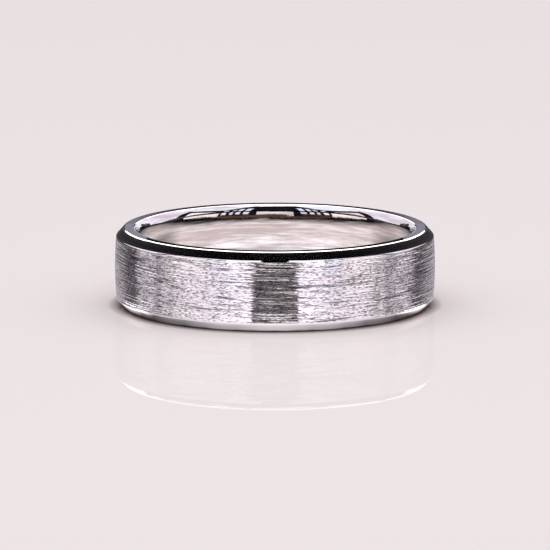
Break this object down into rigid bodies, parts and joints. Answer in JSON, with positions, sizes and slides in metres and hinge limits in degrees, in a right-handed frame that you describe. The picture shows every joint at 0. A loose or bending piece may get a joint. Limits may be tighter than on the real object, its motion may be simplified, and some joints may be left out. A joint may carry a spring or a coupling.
{
  "type": "wedding band",
  "caption": "Plain wedding band in white metal: brushed, slightly crowned face between polished bevels, flat rims and a comfort-fit finger hole.",
  "frame": {"origin": "centre of the finger hole at mid width", "axes": "+Z along the finger, the band standing on its lower rim; the joint is at the back, on +Y"},
  "size_m": [0.0244, 0.0244, 0.006],
  "materials": {
    "white_gold": "satin",
    "white_gold_solder": "polished"
  },
  "bodies": {
    "root": {"band_shank": "white_gold", "solder_seam": "white_gold_solder"}
  },
  "joints": []
}
